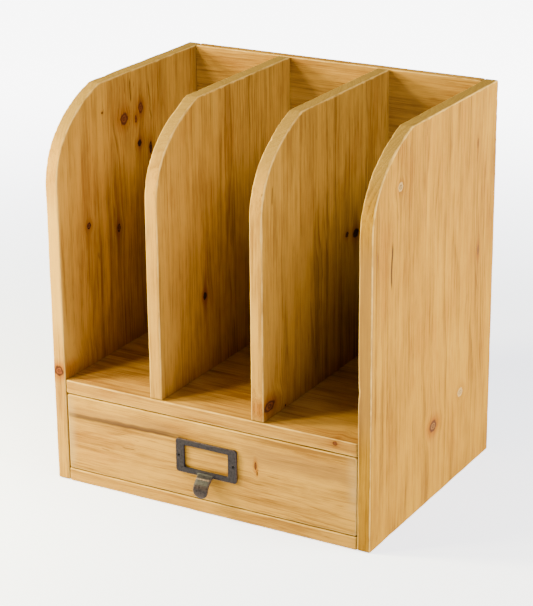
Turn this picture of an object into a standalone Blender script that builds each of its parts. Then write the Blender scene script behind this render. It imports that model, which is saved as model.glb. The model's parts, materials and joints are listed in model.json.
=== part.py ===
"""Desktop magazine holder: three open slots over one drawer, made of pine boards.

Metres, +Z up. X runs across the slots, the open front faces -Y and the holder stands on z = 0.
The origin is the middle of the carcass's footprint.
"""

import math

import bmesh
import bpy
from mathutils import Matrix, Vector

# Carcass
WIDTH = 0.315
DEPTH = 0.242
HEIGHT = 0.352
BOARD = 0.012
BACK_BOARD = 0.010
SHELF_TOP = 0.0975
SLOTS = 3

# Front-top corner of every upright board: a curve tangent to the front edge that meets the top
# edge at a slight corner
CORNER_DROP = 0.078
CORNER_RUN = 0.070
CORNER_RISE = 0.043
CORNER_REACH = 0.036
CORNER_ANGLE = math.radians(20)

# Fits
GAP = 0.0003
EASE = 0.0011
EASE_STEPS = 2
ROUND_SIDES = 12
# How far a cutter runs past the surface that it opens
OVERCUT = 0.002
# Handle length, over the radius, of a Bezier quarter circle
QUARTER_HANDLE = 0.5523

# Dowels that pin the carcass together
DOWEL_R = 0.0025
DOWEL_CHAMFER = 0.0006
DOWEL_IN_FACE = 0.008
DOWEL_IN_BACK = 0.006
DOWEL_IN_END = 0.012
DOWEL_ROWS = {"front": -0.082, "rear": 0.074}
BACK_DOWEL_HEIGHTS = {"low": 0.048, "middle": 0.180, "high": 0.312}
DIVIDER_DOWEL_HEIGHTS = {"low": 0.155, "high": 0.305}

# Drawer
SIDE_CLEARANCE = 0.0010
DRAWER_SHIFT = 0.0004
FRONT_CLEARANCE = 0.0010
DRAWER_BOARD = 0.008
DRAWER_SIDE_HEIGHT = 0.060
DRAWER_REAR_CLEARANCE = 0.0005
REBATE = 0.006
BOTTOM_PANEL = 0.003
BOTTOM_RAISE = 0.005
GROOVE = 0.004

# Brads of the drawer
BRAD_R = 0.0006
BRAD_HEAD_R = 0.0010
BRAD_HEAD = 0.0006
BRAD_POINT = 0.0015
BRAD_LENGTH = 0.018
BRAD_ROWS = {"low": 0.016, "high": 0.046}
BRAD_INSET_FRONT = 0.0035
BOTTOM_BRAD_X = 0.080

# Label holder with its finger pull, one casting
PLATE_WIDTH = 0.0610
PLATE_HEIGHT = 0.0316
PLATE = 0.0022
PLATE_CORNER = 0.0030
PLATE_EASE = 0.0004
PLATE_Z = 0.0517
WINDOW_WIDTH = 0.0436
WINDOW_HEIGHT = 0.0206
WINDOW_CORNER = 0.0008
CARD_CHANNEL = 0.0007
CARD_LIP = 0.0030
PULL_THICKNESS = 0.0019
PULL_HALF_WIDTH = 0.0068
PULL_ROOT_HALF_WIDTH = 0.0082
PULL_ROOT_Z = 0.0385
# Centre line of the pull, as (stand-out from the drawer front, height above the floor)
PULL_LINE = (
    (0.0013, 0.0403),
    (0.0032, 0.0374),
    (0.0076, 0.0340),
    (0.0110, 0.0296),
    (0.0125, 0.0250),
    (0.0120, 0.0185),
)
PULL_TIP_Z = 0.0192
# The block that trims the pull to its outline: how thick it is, and where its middle stands out
TRIM_THICKNESS = 0.040
TRIM_STAND_OUT = 0.010

# Pins of the label holder
PIN_SPACING = 0.0546
PIN_R = 0.0006
PIN_HEAD_R = 0.0011
PIN_HEAD = 0.0007
PIN_LENGTH = 0.0095

# Derived
FRONT = -DEPTH / 2
REAR = DEPTH / 2
INNER_X = WIDTH / 2 - BOARD
BACK_FRONT = REAR - BACK_BOARD
SLOT = (2 * INNER_X - (SLOTS - 1) * BOARD) / SLOTS
DIVIDER_X = {"left": -(SLOT + BOARD) / 2, "right": (SLOT + BOARD) / 2}
SHELF_UNDER = SHELF_TOP - BOARD
DRAWER_HALF = INNER_X - SIDE_CLEARANCE
DRAWER_INNER = DRAWER_HALF - DRAWER_BOARD
DRAWER_FRONT_REAR = FRONT + BOARD
DRAWER_REAR = BACK_FRONT - DRAWER_REAR_CLEARANCE
DRAWER_FLOOR = BOARD + GAP
DRAWER_SIDE_TOP = DRAWER_FLOOR + DRAWER_SIDE_HEIGHT
BOTTOM_LOW = DRAWER_FLOOR + BOTTOM_RAISE
BOTTOM_HIGH = BOTTOM_LOW + BOTTOM_PANEL

# Rotations that turn local +Z to the named direction
TURN = {
    "+X": (0, math.pi / 2, 0),
    "-X": (0, -math.pi / 2, 0),
    "-Y": (math.pi / 2, 0, 0),
    "+Z": (0, 0, 0),
    "-Z": (math.pi, 0, 0),
}
# Rotation of a flat outline drawn in XY so that it stands in the YZ plane
UPRIGHT = (math.pi / 2, 0, math.pi / 2)
# Rotation of a flat outline drawn in XY so that it faces the front
FACING = (math.pi / 2, 0, 0)


# ---------------------------------------------------------------- scene


def clear_scene():
    for thing in list(bpy.data.objects):
        bpy.data.objects.remove(thing, do_unlink=True)


def new_collection(name):
    collection = bpy.data.collections.new(name)
    bpy.context.scene.collection.children.link(collection)
    return collection


def new_material(name, colour, roughness, metallic=0.0):
    material = bpy.data.materials.new(name)
    material.use_nodes = True
    material.diffuse_color = (*colour, 1.0)
    shader = material.node_tree.nodes["Principled BSDF"]
    shader.inputs["Base Color"].default_value = (*colour, 1.0)
    shader.inputs["Roughness"].default_value = roughness
    shader.inputs["Metallic"].default_value = metallic
    return material


clear_scene()
PARTS = new_collection("magazine_holder")
CUTTERS = new_collection("cutters")
PINE = new_material("pine", (0.64, 0.41, 0.19), 0.45)
PINE_SHELF = new_material("pine_shelf", (0.60, 0.37, 0.18), 0.45)
BEECH = new_material("beech_dowel", (0.66, 0.46, 0.27), 0.6)
PLYWOOD = new_material("plywood", (0.68, 0.52, 0.33), 0.55)
BRONZE = new_material("aged_bronze", (0.10, 0.075, 0.06), 0.4, 1.0)
STEEL = new_material("brad_steel", (0.45, 0.44, 0.42), 0.35, 1.0)


# ---------------------------------------------------------------- making pieces


def add_object(name, data, material, location=(0, 0, 0), rotation=(0, 0, 0)):
    thing = bpy.data.objects.new(name, data)
    thing.location = location
    thing.rotation_euler = rotation
    if material is not None:
        data.materials.append(material)
    PARTS.objects.link(thing)
    return thing


def make_cutter(thing):
    """Turns an object into a helper that only cuts."""
    PARTS.objects.unlink(thing)
    CUTTERS.objects.link(thing)
    thing.hide_render = True
    thing.display_type = "WIRE"
    return thing


def boolean(thing, cutter, operation="DIFFERENCE"):
    modifier = thing.modifiers.new(f"{operation.lower()}_{cutter.name}"[:60], "BOOLEAN")
    modifier.operation = operation
    modifier.solver = "EXACT"
    modifier.object = cutter


def ease_edges(mesh_edit, edges, width=EASE, steps=EASE_STEPS):
    bmesh.ops.bevel(
        mesh_edit,
        geom=edges,
        offset=width,
        offset_type="OFFSET",
        segments=steps,
        profile=0.5,
        affect="EDGES",
        clamp_overlap=True,
    )


def block_mesh(name, size, eased=None):
    """A box about the origin. eased picks edges by their midpoint, scaled to -1..1 on each axis."""
    mesh_edit = bmesh.new()
    bmesh.ops.create_cube(mesh_edit, size=1.0, matrix=Matrix.Diagonal((*size, 1.0)))
    if eased is not None:
        picked = []
        for edge in mesh_edit.edges:
            middle = (edge.verts[0].co + edge.verts[1].co) / 2
            scaled = Vector(2 * middle[i] / size[i] for i in range(3))
            if eased(scaled):
                picked.append(edge)
        ease_edges(mesh_edit, picked)
    mesh = bpy.data.meshes.new(name)
    mesh_edit.to_mesh(mesh)
    mesh_edit.free()
    return mesh


def block(name, low, high, material, eased=None):
    """A board between two corners of space."""
    low = Vector(low)
    high = Vector(high)
    mesh = block_mesh(name, high - low, eased)
    return add_object(name, mesh, material, location=(low + high) / 2)


def block_cutter(name, low, high):
    return make_cutter(block(name, low, high, None))


def turned_mesh(name, profile):
    """A profile of (radius, height) points, from the axis at the top to the axis at the bottom."""
    mesh = bpy.data.meshes.new(name)
    points = [(radius, 0, height) for radius, height in profile]
    edges = [(i, i + 1) for i in range(len(points) - 1)]
    mesh.from_pydata(points, edges, [])
    return mesh


def turn(thing, sides=ROUND_SIDES):
    modifier = thing.modifiers.new("turn", "SCREW")
    modifier.steps = sides
    modifier.render_steps = sides
    modifier.use_merge_vertices = True
    modifier.merge_threshold = 1e-5
    modifier.use_smooth_shade = True
    return thing


def turned(name, profile, material, location, direction, sides=ROUND_SIDES):
    mesh = turned_mesh(name, profile)
    return turn(add_object(name, mesh, material, location, TURN[direction]), sides)


def flat_outline(name, points, thickness, holes=()):
    """A mesh of a closed outline, drawn in XY and thick along Z.

    Each point is (co, left handle or None, right handle or None); None makes that side straight.
    """
    curve = bpy.data.curves.new(name, "CURVE")
    curve.dimensions = "2D"
    curve.fill_mode = "BOTH"
    curve.extrude = thickness / 2
    curve.resolution_u = 12
    for loop in (points, *holes):
        spline = curve.splines.new("BEZIER")
        spline.bezier_points.add(len(loop) - 1)
        spline.use_cyclic_u = True
        for knot, (place, left, right) in zip(spline.bezier_points, loop):
            knot.co = (*place, 0)
            knot.handle_left_type = "VECTOR" if left is None else "FREE"
            knot.handle_right_type = "VECTOR" if right is None else "FREE"
            if left is not None:
                knot.handle_left = (*left, 0)
            if right is not None:
                knot.handle_right = (*right, 0)
    return curve_to_mesh(name, curve)


def curve_to_mesh(name, curve):
    """The closed mesh of a curve, with its caps joined on and its flat faces whole."""
    holder = bpy.data.objects.new(f"{name}_outline", curve)
    CUTTERS.objects.link(holder)
    bpy.context.view_layer.update()
    graph = bpy.context.evaluated_depsgraph_get()
    mesh = bpy.data.meshes.new_from_object(holder.evaluated_get(graph))
    bpy.data.objects.remove(holder, do_unlink=True)
    bpy.data.curves.remove(curve)
    mesh.name = name
    mesh_edit = bmesh.new()
    mesh_edit.from_mesh(mesh)
    bmesh.ops.remove_doubles(mesh_edit, verts=mesh_edit.verts, dist=1e-6)
    bmesh.ops.dissolve_limit(
        mesh_edit,
        angle_limit=math.radians(0.05),
        verts=mesh_edit.verts,
        edges=mesh_edit.edges,
    )
    bmesh.ops.recalc_face_normals(mesh_edit, faces=mesh_edit.faces)
    mesh_edit.to_mesh(mesh)
    mesh_edit.free()
    return mesh


def rounded_rectangle(width, height, radius):
    """Outline points of a rectangle about the origin with arcs at its corners."""
    handle = radius * QUARTER_HANDLE
    points = []
    for quarter in range(4):
        turn_by = Matrix.Rotation(quarter * math.pi / 2, 2)
        half = (width / 2, height / 2) if quarter % 2 == 0 else (height / 2, width / 2)
        start = Vector((half[0], half[1] - radius))
        end = Vector((half[0] - radius, half[1]))
        pull_start = start + Vector((0, handle))
        pull_end = end + Vector((handle, 0))
        points.append((turn_by @ start, None, turn_by @ pull_start))
        points.append((turn_by @ end, turn_by @ pull_end, None))
    return points


def smooth(thing, angle=math.radians(30)):
    thing.data.shade_smooth()
    thing.data.set_sharp_from_angle(angle=angle)
    return thing


# ---------------------------------------------------------------- upright boards


def upright_mesh(name, low, rear, eased):
    """A side or a divider: straight back and foot, curved front-top corner."""
    start = Vector((FRONT, HEIGHT - CORNER_DROP))
    kink = Vector((FRONT + CORNER_RUN, HEIGHT))
    towards = Vector((math.cos(CORNER_ANGLE), math.sin(CORNER_ANGLE)))
    outline = [
        (Vector((FRONT, low)), None, None),
        (start, None, start + Vector((0, CORNER_RISE))),
        (kink, kink - CORNER_REACH * towards, None),
        (Vector((rear, HEIGHT)), None, None),
        (Vector((rear, low)), None, None),
    ]
    mesh = flat_outline(name, outline, BOARD)
    mesh_edit = bmesh.new()
    mesh_edit.from_mesh(mesh)
    picked = []
    for edge in mesh_edit.edges:
        across = abs(edge.verts[0].co.z - edge.verts[1].co.z) > BOARD / 2
        middle = (edge.verts[0].co + edge.verts[1].co) / 2
        if not across and edge.calc_face_angle(0) > math.radians(60) and eased(middle):
            picked.append(edge)
    ease_edges(mesh_edit, picked)
    mesh_edit.to_mesh(mesh)
    mesh_edit.free()
    return mesh


def upright(name, mesh, x):
    return smooth(add_object(name, mesh, None, (x, 0, 0), UPRIGHT))


side_mesh = upright_mesh("side_panel", 0, REAR, lambda middle: True)
side_mesh.materials.append(PINE)
side_x = WIDTH / 2 - BOARD / 2
sides = {
    "left": upright("left_side_panel", side_mesh, -side_x),
    "right": upright("right_side_panel", side_mesh, side_x),
}

divider_mesh = upright_mesh(
    "divider",
    SHELF_TOP + GAP,
    BACK_FRONT - GAP,
    lambda middle: middle.y > SHELF_TOP + 2 * GAP and middle.x < BACK_FRONT - 2 * GAP,
)
divider_mesh.materials.append(PINE)
dividers = {side: upright(f"{side}_divider", divider_mesh, x) for side, x in DIVIDER_X.items()}


# ---------------------------------------------------------------- level boards and back


def front_edges(middle):
    return middle.y < -0.5 and abs(middle.x) < 0.5


def top_edges(middle):
    return middle.z > 0.5 and abs(middle.x) < 0.5


def level_board(name, low_z):
    return block(
        name,
        (-INNER_X + GAP, FRONT, low_z),
        (INNER_X - GAP, BACK_FRONT - GAP, low_z + BOARD),
        PINE_SHELF,
        eased=front_edges,
    )


shelf = level_board("shelf", SHELF_UNDER)
bottom_board = level_board("bottom_board", 0)
back_panel = block(
    "back_panel",
    (-INNER_X + GAP, BACK_FRONT, 0),
    (INNER_X - GAP, REAR, HEIGHT),
    PINE_SHELF,
    eased=top_edges,
)


# ---------------------------------------------------------------- dowels


def dowel(name, start, direction, first_depth, second_depth, boards):
    """A dowel across the joint at start: first_depth back from it, second_depth along direction."""
    axis = Vector({"+X": (1, 0, 0), "-X": (-1, 0, 0), "-Y": (0, -1, 0), "+Z": (0, 0, 1)}[direction])
    length = first_depth + second_depth
    middle = Vector(start) + axis * (second_depth - first_depth) / 2
    half = length / 2
    neck = half - DOWEL_CHAMFER
    tip = DOWEL_R - DOWEL_CHAMFER
    profile = [(0, half), (tip, half), (DOWEL_R, neck), (DOWEL_R, -neck), (tip, -half), (0, -half)]
    pin = turned(name, profile, BEECH, middle, direction)
    hole = DOWEL_R + GAP
    reach = half + GAP
    hole_profile = [(0, reach), (hole, reach), (hole, -reach), (0, -reach)]
    cutter = make_cutter(turned(f"{name}_hole", hole_profile, None, middle, direction))
    for board in boards:
        boolean(board, cutter)
    return pin


for side, into in (("left", "+X"), ("right", "-X")):
    sign = -1 if side == "left" else 1
    face_x = sign * INNER_X
    for level, board in (("shelf", shelf), ("bottom", bottom_board)):
        for row, y in DOWEL_ROWS.items():
            start = (face_x, y, board.location.z)
            name = f"{side}_{level}_dowel_{row}"
            dowel(name, start, into, DOWEL_IN_FACE, DOWEL_IN_END, (sides[side], board))
    for row, z in BACK_DOWEL_HEIGHTS.items():
        start = (face_x, BACK_FRONT + BACK_BOARD / 2, z)
        name = f"{side}_back_dowel_{row}"
        dowel(name, start, into, DOWEL_IN_FACE, DOWEL_IN_END, (sides[side], back_panel))
    divider = dividers[side]
    for row, y in DOWEL_ROWS.items():
        start = (DIVIDER_X[side], y, SHELF_TOP)
        name = f"{side}_divider_foot_dowel_{row}"
        dowel(name, start, "+Z", DOWEL_IN_FACE, DOWEL_IN_END, (shelf, divider))
    for row, z in DIVIDER_DOWEL_HEIGHTS.items():
        start = (DIVIDER_X[side], BACK_FRONT, z)
        name = f"{side}_divider_back_dowel_{row}"
        dowel(name, start, "-Y", DOWEL_IN_BACK, DOWEL_IN_END, (back_panel, divider))


# ---------------------------------------------------------------- drawer


def drawer_space(low, high):
    """Corners given about the drawer's own middle, moved to where the drawer sits."""
    shift = Vector((DRAWER_SHIFT, 0, 0))
    return Vector(low) + shift, Vector(high) + shift


def outline_edges(middle):
    return middle.y < -0.5


drawer_front = block(
    "drawer_front",
    *drawer_space(
        (-DRAWER_HALF, FRONT, BOARD + FRONT_CLEARANCE),
        (DRAWER_HALF, DRAWER_FRONT_REAR, SHELF_UNDER - FRONT_CLEARANCE),
    ),
    PINE_SHELF,
    eased=outline_edges,
)
drawer_sides = {}
for side, sign in (("left", -1), ("right", 1)):
    near = sign * DRAWER_INNER
    far = sign * DRAWER_HALF
    drawer_sides[side] = block(
        f"drawer_side_{side}",
        *drawer_space(
            (min(near, far), FRONT + REBATE + GAP, DRAWER_FLOOR),
            (max(near, far), DRAWER_REAR, DRAWER_SIDE_TOP),
        ),
        PINE,
        eased=lambda middle: middle.z > 0.5 and abs(middle.y) < 0.5,
    )
    rebate_low = min(near - sign * GAP, far + sign * OVERCUT)
    rebate_high = max(near - sign * GAP, far + sign * OVERCUT)
    rebate = block_cutter(
        f"drawer_rebate_{side}",
        *drawer_space(
            (rebate_low, FRONT + REBATE, 0),
            (rebate_high, DRAWER_FRONT_REAR + OVERCUT, SHELF_TOP),
        ),
    )
    boolean(drawer_front, rebate)

drawer_back = block(
    "drawer_back",
    *drawer_space(
        (-DRAWER_INNER + GAP, DRAWER_REAR - DRAWER_BOARD, BOTTOM_HIGH + GAP),
        (DRAWER_INNER - GAP, DRAWER_REAR, DRAWER_SIDE_TOP),
    ),
    PINE,
    eased=top_edges,
)
drawer_bottom = block(
    "drawer_bottom",
    *drawer_space(
        (-DRAWER_INNER - GROOVE + GAP, DRAWER_FRONT_REAR - GROOVE + GAP, BOTTOM_LOW),
        (DRAWER_INNER + GROOVE - GAP, DRAWER_REAR, BOTTOM_HIGH),
    ),
    PLYWOOD,
)
groove = block_cutter(
    "drawer_bottom_groove",
    *drawer_space(
        (-DRAWER_INNER - GROOVE, DRAWER_FRONT_REAR - GROOVE, BOTTOM_LOW - GAP),
        (DRAWER_INNER + GROOVE, DRAWER_REAR + OVERCUT, BOTTOM_HIGH + GAP),
    ),
)
for board in (drawer_front, *drawer_sides.values()):
    boolean(board, groove)


def brad(name, head, direction, boards):
    """A brad whose head is at head and faces direction."""
    neck = -BRAD_HEAD
    shoulder = -BRAD_LENGTH + BRAD_POINT
    profile = [
        (0, 0),
        (BRAD_HEAD_R, 0),
        (BRAD_HEAD_R, neck),
        (BRAD_R, neck),
        (BRAD_R, shoulder),
        (0, -BRAD_LENGTH),
    ]
    nail = turned(name, profile, STEEL, head, direction)
    hole_profile = [
        (0, GAP),
        (BRAD_HEAD_R + GAP, GAP),
        (BRAD_HEAD_R + GAP, neck - GAP),
        (BRAD_R + GAP, neck - GAP),
        (BRAD_R + GAP, shoulder - GAP),
        (0, -BRAD_LENGTH - 2 * GAP),
    ]
    cutter = make_cutter(turned(f"{name}_hole", hole_profile, None, head, direction))
    for board in boards:
        boolean(board, cutter)
    return nail


for side, sign, facing in (("left", -1, "-X"), ("right", 1, "+X")):
    head_x = DRAWER_SHIFT + sign * (DRAWER_HALF - GAP / 2)
    ends = (
        ("front", FRONT + REBATE + BRAD_INSET_FRONT, drawer_front),
        ("back", DRAWER_REAR - DRAWER_BOARD / 2, drawer_back),
    )
    for end, y, other in ends:
        for row, rise in BRAD_ROWS.items():
            head = (head_x, y, DRAWER_FLOOR + rise)
            name = f"drawer_brad_{side}_{end}_{row}"
            brad(name, head, facing, (drawer_sides[side], other))
    head = (
        DRAWER_SHIFT + sign * BOTTOM_BRAD_X,
        DRAWER_REAR - DRAWER_BOARD / 2,
        BOTTOM_LOW + GAP / 2,
    )
    brad(f"drawer_bottom_brad_{side}", head, "-Z", (drawer_bottom, drawer_back))


# ---------------------------------------------------------------- label holder and pull


def pull_ribbon():
    """The curled strip of the pull, wider than needed; the tongue outline trims it."""
    curve = bpy.data.curves.new("pull_ribbon", "CURVE")
    curve.dimensions = "2D"
    curve.fill_mode = "NONE"
    curve.extrude = PULL_ROOT_HALF_WIDTH + OVERCUT
    curve.resolution_u = 6
    spline = curve.splines.new("BEZIER")
    spline.bezier_points.add(len(PULL_LINE) - 1)
    for knot, (stand_out, height) in zip(spline.bezier_points, PULL_LINE):
        knot.co = (FRONT - stand_out, height, 0)
        knot.handle_left_type = "AUTO"
        knot.handle_right_type = "AUTO"
    mesh = curve_to_mesh("pull_ribbon", curve)
    ribbon = add_object("pull_ribbon", mesh, None, (DRAWER_SHIFT, 0, 0), UPRIGHT)
    thicken = ribbon.modifiers.new("thickness", "SOLIDIFY")
    thicken.thickness = PULL_THICKNESS
    thicken.offset = 0
    thicken.use_even_offset = True
    return make_cutter(ribbon)


def pull_tongue():
    """The pull seen from the front: a flared root, parallel sides and a round end."""
    half = PULL_HALF_WIDTH
    root = PULL_ROOT_HALF_WIDTH
    top = PULL_LINE[0][1] + PULL_THICKNESS
    waist_z = PLATE_Z - PLATE_HEIGHT / 2 - half
    round_z = PULL_TIP_Z + half
    handle = half * QUARTER_HANDLE
    flare = (PULL_ROOT_Z - waist_z) / 2
    right = [
        (Vector((0, PULL_TIP_Z)), Vector((-handle, PULL_TIP_Z)), Vector((handle, PULL_TIP_Z))),
        (Vector((half, round_z)), Vector((half, round_z - handle)), None),
        (Vector((half, waist_z)), None, Vector((half, waist_z + flare))),
        (Vector((root, PULL_ROOT_Z)), Vector((root, PULL_ROOT_Z - flare)), None),
        (Vector((root, top)), None, None),
    ]
    left = []
    for place, before, after in reversed(right[1:]):
        flip = [None if v is None else Vector((-v.x, v.y)) for v in (place, after, before)]
        left.append(tuple(flip))
    mesh = flat_outline("pull_tongue", right + left, TRIM_THICKNESS)
    tongue = add_object("pull_tongue", mesh, None, (DRAWER_SHIFT, FRONT - TRIM_STAND_OUT, 0), FACING)
    return make_cutter(tongue)


def label_holder():
    outer = rounded_rectangle(PLATE_WIDTH, PLATE_HEIGHT, PLATE_CORNER)
    window = rounded_rectangle(WINDOW_WIDTH, WINDOW_HEIGHT, WINDOW_CORNER)
    mesh = flat_outline("label_holder_pull", outer, PLATE, holes=(window,))
    mesh_edit = bmesh.new()
    mesh_edit.from_mesh(mesh)
    face_edges = [
        edge
        for edge in mesh_edit.edges
        if min(vert.co.z for vert in edge.verts) > PLATE / 4
        and edge.calc_face_angle(0) > math.radians(60)
    ]
    ease_edges(mesh_edit, face_edges, PLATE_EASE, 2)
    mesh_edit.to_mesh(mesh)
    mesh_edit.free()
    plate_y = FRONT - GAP - PLATE / 2
    plate = add_object("label_holder_pull", mesh, BRONZE, (DRAWER_SHIFT, plate_y, PLATE_Z), FACING)

    ribbon = pull_ribbon()
    boolean(ribbon, pull_tongue(), "INTERSECT")
    boolean(plate, ribbon, "UNION")

    side = WINDOW_WIDTH / 2 + CARD_LIP
    card_low = PLATE_Z - WINDOW_HEIGHT / 2 - CARD_LIP
    channel = block_cutter(
        "card_channel",
        *drawer_space(
            (-side, FRONT - GAP - CARD_CHANNEL, card_low),
            (side, FRONT + OVERCUT, PLATE_Z + PLATE_HEIGHT),
        ),
    )
    boolean(plate, channel)
    return plate


label_holder_pull = label_holder()


def pin(name, x):
    """A round-headed pin through the plate into the drawer front."""
    head = (x, FRONT - GAP - PLATE - PIN_HEAD / 2, PLATE_Z)
    neck = -PIN_HEAD
    profile = [
        (0, 0),
        (0.6 * PIN_HEAD_R, 0.25 * neck),
        (PIN_HEAD_R, neck),
        (PIN_R, neck),
        (PIN_R, -PIN_LENGTH + BRAD_POINT),
        (0, -PIN_LENGTH),
    ]
    nail = turned(name, profile, BRONZE, head, "-Y")
    hole_profile = [
        (0, OVERCUT),
        (PIN_HEAD_R + GAP, OVERCUT),
        (PIN_HEAD_R + GAP, neck - GAP),
        (PIN_R + GAP, neck - GAP),
        (PIN_R + GAP, -PIN_LENGTH + BRAD_POINT - GAP),
        (0, -PIN_LENGTH - 2 * GAP),
    ]
    cutter = make_cutter(turned(f"{name}_hole", hole_profile, None, head, "-Y"))
    boolean(label_holder_pull, cutter)
    boolean(drawer_front, cutter)
    return nail


for side, sign in (("left", -1), ("right", 1)):
    pin(f"label_pin_{side}", DRAWER_SHIFT + sign * PIN_SPACING / 2)


# ---------------------------------------------------------------- the drawer moves as one


def parent_drawer():
    """Everything of the drawer hangs on an empty on the line along which it slides."""
    runner = bpy.data.objects.new("drawer_slide", None)
    runner.location = (DRAWER_SHIFT, FRONT, BOARD)
    PARTS.objects.link(runner)
    bpy.context.view_layer.update()
    for thing in PARTS.objects:
        if thing.name.startswith(("drawer_", "label_")) and thing is not runner:
            thing.parent = runner
            thing.matrix_parent_inverse = runner.matrix_world.inverted()


parent_drawer()
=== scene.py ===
"""Looks of the desktop magazine holder: satin pine boards, an aged bronze label holder, a plain studio.

Metres, +Z up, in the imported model's frame: X runs across the slots and the open front faces -Y.
"""

import json
import math
from typing import NamedTuple

import bmesh
import bpy
from mathutils import Matrix, Vector, noise


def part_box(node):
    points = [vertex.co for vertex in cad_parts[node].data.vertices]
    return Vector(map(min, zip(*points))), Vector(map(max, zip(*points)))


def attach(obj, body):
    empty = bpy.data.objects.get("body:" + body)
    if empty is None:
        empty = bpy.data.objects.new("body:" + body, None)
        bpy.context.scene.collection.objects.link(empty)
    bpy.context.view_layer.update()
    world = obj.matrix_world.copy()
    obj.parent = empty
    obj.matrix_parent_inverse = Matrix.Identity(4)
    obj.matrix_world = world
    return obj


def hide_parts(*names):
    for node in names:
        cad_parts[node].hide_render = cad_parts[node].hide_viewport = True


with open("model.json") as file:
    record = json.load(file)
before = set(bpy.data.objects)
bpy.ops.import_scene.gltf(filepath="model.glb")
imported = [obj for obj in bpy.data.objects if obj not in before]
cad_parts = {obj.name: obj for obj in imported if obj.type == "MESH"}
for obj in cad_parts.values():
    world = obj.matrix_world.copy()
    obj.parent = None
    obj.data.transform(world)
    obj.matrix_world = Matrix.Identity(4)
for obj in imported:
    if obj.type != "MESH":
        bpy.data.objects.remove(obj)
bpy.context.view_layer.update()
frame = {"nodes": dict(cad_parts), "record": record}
NODES = frame["nodes"]

X, Y, Z = 0, 1, 2


# ---------------------------------------------------------------- node graphs


class Graph:
    """The node tree of one material, with a short call for each kind of node used here."""

    def __init__(self, name):
        self.material = bpy.data.materials.new(name)
        self.material.use_nodes = True
        self.tree = self.material.node_tree
        self.tree.nodes.clear()
        self.shader = self.add("ShaderNodeBsdfPrincipled")
        output = self.add("ShaderNodeOutputMaterial")
        self.tree.links.new(self.shader.outputs[0], output.inputs[0])

    def add(self, kind, **settings):
        node = self.tree.nodes.new(kind)
        for key, value in settings.items():
            setattr(node, key, value)
        return node

    def feed(self, socket, value):
        """Sets a socket, or links it where the value is another socket."""
        if isinstance(value, bpy.types.NodeSocket):
            self.tree.links.new(value, socket)
        elif value is not None:
            socket.default_value = value

    def math(self, operation, a, b=None, c=None, clamp=False):
        node = self.add("ShaderNodeMath", operation=operation, use_clamp=clamp)
        for socket, value in zip(node.inputs, (a, b, c)):
            self.feed(socket, value)
        return node.outputs[0]

    def total(self, *values):
        result = values[0]
        for value in values[1:]:
            result = self.math("ADD", result, value)
        return result

    def vector(self, x, y, z):
        node = self.add("ShaderNodeCombineXYZ")
        for socket, value in zip(node.inputs, (x, y, z)):
            self.feed(socket, value)
        return node.outputs[0]

    def split(self, vector):
        node = self.add("ShaderNodeSeparateXYZ")
        self.feed(node.inputs[0], vector)
        return node.outputs

    def stretch(self, vector, factors, shift=(0, 0, 0)):
        node = self.add("ShaderNodeVectorMath", operation="MULTIPLY_ADD")
        self.feed(node.inputs[0], vector)
        node.inputs[1].default_value = factors
        self.feed(node.inputs[2], shift)
        return node.outputs[0]

    def noise(self, place, detail=2.0, roughness=0.5, distortion=0.0):
        """Noise with features about one unit across in the given coordinates, from 0 to 1."""
        node = self.add("ShaderNodeTexNoise")
        self.feed(node.inputs["Vector"], place)
        node.inputs["Scale"].default_value = 1.0
        node.inputs["Detail"].default_value = detail
        node.inputs["Roughness"].default_value = roughness
        node.inputs["Distortion"].default_value = distortion
        return node.outputs["Fac"]

    def ramp(self, value, low, high, start=0.0, end=1.0, smooth=True):
        """value from low..high to start..end, held at the ends."""
        node = self.add("ShaderNodeMapRange")
        node.interpolation_type = "SMOOTHSTEP" if smooth else "LINEAR"
        for socket, number in zip(node.inputs, (value, low, high, start, end)):
            self.feed(socket, number)
        return node.outputs[0]

    def mix(self, amount, a, b, blend="MIX"):
        node = self.add("ShaderNodeMix", data_type="RGBA", blend_type=blend)
        self.feed(node.inputs["Factor"], amount)
        for socket, value in zip((node.inputs[6], node.inputs[7]), (a, b)):
            if isinstance(value, tuple):
                value = (*value, 1.0)
            self.feed(socket, value)
        return node.outputs[2]

    def bump(self, height, distance, strength):
        node = self.add("ShaderNodeBump")
        node.inputs["Strength"].default_value = strength
        node.inputs["Distance"].default_value = distance
        self.feed(node.inputs["Height"], height)
        return node.outputs[0]


# ---------------------------------------------------------------- wood


class Mark(NamedTuple):
    """A knot: an ellipsoid at centre with radii, both along X, Y and Z, and a dark tail along the grain."""

    centre: tuple
    radii: tuple
    rim: tuple
    core: tuple
    tail: float = 0.5
    flush: float = 0.5


class Streak(NamedTuple):
    """A line along the grain, from one (across, along) point to another, right through the board."""

    start: tuple
    end: tuple
    width: float
    strength: float
    colour: tuple
    waver: float = 0.001


EARLY = (0.372, 0.188, 0.0255)
LATE = (0.158, 0.070, 0.0120)
RED_RIM = (0.060, 0.018, 0.007)
RED_CORE = (0.125, 0.038, 0.011)
BLACK = (0.014, 0.007, 0.005)
END_DARK = (0.145, 0.084, 0.017)
END_PALE = (0.290, 0.178, 0.043)
END_RING = (0.115, 0.062, 0.012)
RESIN = (0.085, 0.034, 0.010)
KNOT_TAIL = (0.120, 0.038, 0.010)
# Pale of the eased edges: lighter sanded wood with a painted highlight along the arrises
RUBBED_EDGE_AND_HIGHLIGHT = (0.560, 0.345, 0.095)
GREYED = (0.345, 0.215, 0.080)

# Tints, which multiply the wood's colour
FLUSHED = (0.95, 0.80, 0.70)
BLEACHED = (1.10, 1.15, 1.22)
KNOT_HALO = (0.66, 0.44, 0.34)
LACQUER = (0.78, 0.77, 0.74)

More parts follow.
